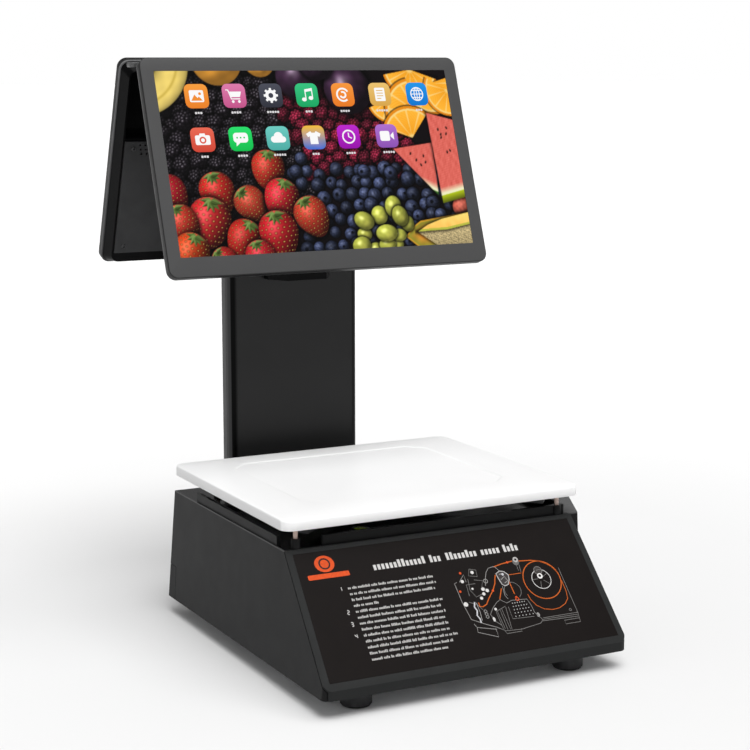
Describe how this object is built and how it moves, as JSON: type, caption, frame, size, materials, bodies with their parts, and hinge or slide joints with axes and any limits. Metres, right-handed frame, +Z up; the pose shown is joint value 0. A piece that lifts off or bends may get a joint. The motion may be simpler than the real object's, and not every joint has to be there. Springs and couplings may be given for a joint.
{
  "type": "label printing scale",
  "caption": "Counter scale with a lift-off pan, a drafted base holding a sliding label printer drawer, and a thin column carrying two tilting back-to-back displays and a camera.",
  "frame": {"origin": "middle of the whole object's footprint, on the surface that it stands on", "axes": "+Z up, the sloping front label faces -Y, the printer drawer opens towards +X"},
  "size_m": [0.3868, 0.5314, 0.5936],
  "materials": {
    "housing_black": "fine satin texture, moulded",
    "fascia_grey": "fine satin texture, moulded",
    "label_film": "semi-gloss printed film",
    "steel": "plated",
    "aluminium": "milled",
    "cast_aluminium": "cast",
    "black_enamel": "powder coat",
    "rubber": "matt",
    "stop_pin": "satin",
    "level_vial": "clear vial with tinted liquid",
    "circuit_board": "solder mask",
    "supply_case": "potted case",
    "socket_black": "satin",
    "socket_shell": "plated",
    "column_shell": "satin",
    "column_cover": "satin gloss",
    "lens_black": "polished",
    "spine_grey": "satin",
    "pan_white": "gloss",
    "screen_glass": "polished, black printed border",
    "lcd": "panel",
    "frame_grey": "satin",
    "shell_black": "fine texture",
    "cover_charcoal": "fine texture",
    "chassis": "galvanised sheet",
    "motor_black": "satin",
    "hub_black": "satin",
    "paper": "thermal label stock",
    "gear_white": "acetal",
    "brass": "machined",
    "head_aluminium": "anodised",
    "lever_orange": "satin",
    "rocker_red": "gloss"
  },
  "bodies": {
    "base": {"base_plate": "steel", "base_housing": "housing_black", "front_fascia": "fascia_grey", "instruction_label": "label_film", "rear_skirt": "housing_black", "load_cell": "aluminium", "load_cell_mounts": "cast_aluminium", "pan_support": "black_enamel", "support_pads": "rubber", "overload_stops": "stop_pin", "bubble_level": "level_vial", "main_board": "circuit_board", "power_supply": "supply_case", "power_inlet": "socket_black", "io_sockets": "socket_shell", "base_screws": "steel", "drawer_rails": "steel", "column_frame": "black_enamel", "pedestal_cover": "housing_black", "column_rear_shell": "column_shell", "column_front_cover": "column_cover", "camera_housing": "column_cover", "camera_module": "lens_black", "hinge_shaft": "steel", "spine_cover": "spine_grey"},
    "pan": {"weighing_pan": "pan_white"},
    "front_display": {"front_glass": "screen_glass", "front_lcd": "lcd", "front_frame": "frame_grey", "front_back_shell": "shell_black", "front_service_cover": "cover_charcoal", "front_hinge_arms": "steel", "computer_board": "circuit_board"},
    "rear_display": {"rear_glass": "screen_glass", "rear_lcd": "lcd", "rear_frame": "frame_grey", "rear_back_shell": "shell_black", "rear_service_cover": "cover_charcoal", "rear_hinge_arms": "steel"},
    "drawer_slides": {"rail_sliders": "steel"},
    "printer_drawer": {"drawer_front": "housing_black", "mechanism_plate": "chassis", "guide_rods": "steel", "stepper_motor": "motor_black", "peel_bar": "steel"},
    "paper_roll": {"roll_hub": "hub_black", "label_roll": "paper"},
    "backing_spool": {"rewind_spool": "hub_black"},
    "platen": {"platen_shaft": "steel", "platen_roller": "rubber"},
    "idler": {"idler_gear": "gear_white"},
    "pinion": {"motor_pinion": "brass"},
    "print_head": {"printhead": "head_aluminium"},
    "head_lever": {"release_lever": "lever_orange"},
    "latch_button": {"drawer_latch": "lever_orange"},
    "foot_fl": {"foot_front_left": "rubber"},
    "foot_fr": {"foot_front_right": "rubber"},
    "foot_rl": {"foot_rear_left": "rubber"},
    "foot_rr": {"foot_rear_right": "rubber"},
    "mains_rocker": {"power_rocker": "rocker_red"}
  },
  "joints": [
    {"name": "pan_lift", "type": "slide", "parent": "base", "child": "pan", "axis": [0, 0, 1], "range_m": [0, 0.12]},
    {"name": "front_tilt", "type": "hinge", "parent": "base", "child": "front_display", "pos_m": [-0.00662, 0.15475, 0.57], "axis": [-1, 0, 0], "range_deg": [-8, 12]},
    {"name": "rear_tilt", "type": "hinge", "parent": "base", "child": "rear_display", "pos_m": [-0.00662, 0.15475, 0.57], "axis": [1, 0, 0], "range_deg": [-8, 12]},
    {"name": "drawer_slide", "type": "slide", "parent": "base", "child": "printer_drawer", "axis": [1, 0, 0], "range_m": [0, 0.17]},
    {"name": "slider_follow", "type": "slide", "parent": "base", "child": "drawer_slides", "axis": [1, 0, 0], "range_m": [0, 0.09]},
    {"name": "roll_spin", "type": "hinge", "parent": "printer_drawer", "child": "paper_roll", "pos_m": [0.07337, -0.06765, 0.078], "axis": [0, 1, 0], "continuous": true},
    {"name": "rewind_spin", "type": "hinge", "parent": "printer_drawer", "child": "backing_spool", "pos_m": [0.15338, -0.06765, 0.0475], "axis": [0, 1, 0], "continuous": true},
    {"name": "platen_turn", "type": "hinge", "parent": "printer_drawer", "child": "platen", "pos_m": [0.17538, -0.06765, 0.092], "axis": [0, 1, 0], "continuous": true},
    {"name": "idler_turn", "type": "hinge", "parent": "printer_drawer", "child": "idler", "pos_m": [0.15632, -0.02065, 0.081], "axis": [0, 1, 0], "continuous": true},
    {"name": "pinion_turn", "type": "hinge", "parent": "printer_drawer", "child": "pinion", "pos_m": [0.14032, -0.02065, 0.081], "axis": [0, 1, 0], "continuous": true},
    {"name": "lever_turn", "type": "hinge", "parent": "printer_drawer", "child": "head_lever", "pos_m": [0.16137, -0.06765, 0.124], "axis": [0, -1, 0], "range_deg": [0, 60]},
    {"name": "head_lift", "type": "hinge", "parent": "printer_drawer", "child": "print_head", "pos_m": [0.14338, -0.06765, 0.116], "axis": [0, -1, 0], "range_deg": [0, 10.5]},
    {"name": "latch_press", "type": "slide", "parent": "printer_drawer", "child": "latch_button", "axis": [-1, 0, 0], "range_m": [0, 0.003], "stiffness_N_per_m": 400},
    {"name": "rocker_turn", "type": "hinge", "parent": "base", "child": "mains_rocker", "pos_m": [-0.12662, 0.10895, 0.113], "axis": [1, 0, 0], "range_deg": [0, 16]},
    {"name": "foot_fl_turn", "type": "hinge", "parent": "base", "child": "foot_fl", "pos_m": [-0.12373, -0.23255, 0.01], "axis": [0, 0, 1], "continuous": true},
    {"name": "foot_fr_turn", "type": "hinge", "parent": "base", "child": "foot_fr", "pos_m": [0.11048, -0.23255, 0.01], "axis": [0, 0, 1], "continuous": true},
    {"name": "foot_rl_turn", "type": "hinge", "parent": "base", "child": "foot_rl", "pos_m": [-0.12373, 0.07935, 0.01], "axis": [0, 0, 1], "continuous": true},
    {"name": "foot_rr_turn", "type": "hinge", "parent": "base", "child": "foot_rr", "pos_m": [0.11048, 0.07935, 0.01], "axis": [0, 0, 1], "continuous": true}
  ],
  "couplings": [
    {"joint": "idler_turn", "follows": "platen_turn", "ratio": -1.2},
    {"joint": "pinion_turn", "follows": "platen_turn", "ratio": 2},
    {"joint": "head_lift", "follows": "lever_turn", "ratio": 0.16667},
    {"joint": "slider_follow", "follows": "drawer_slide", "ratio": 0.5}
  ]
}
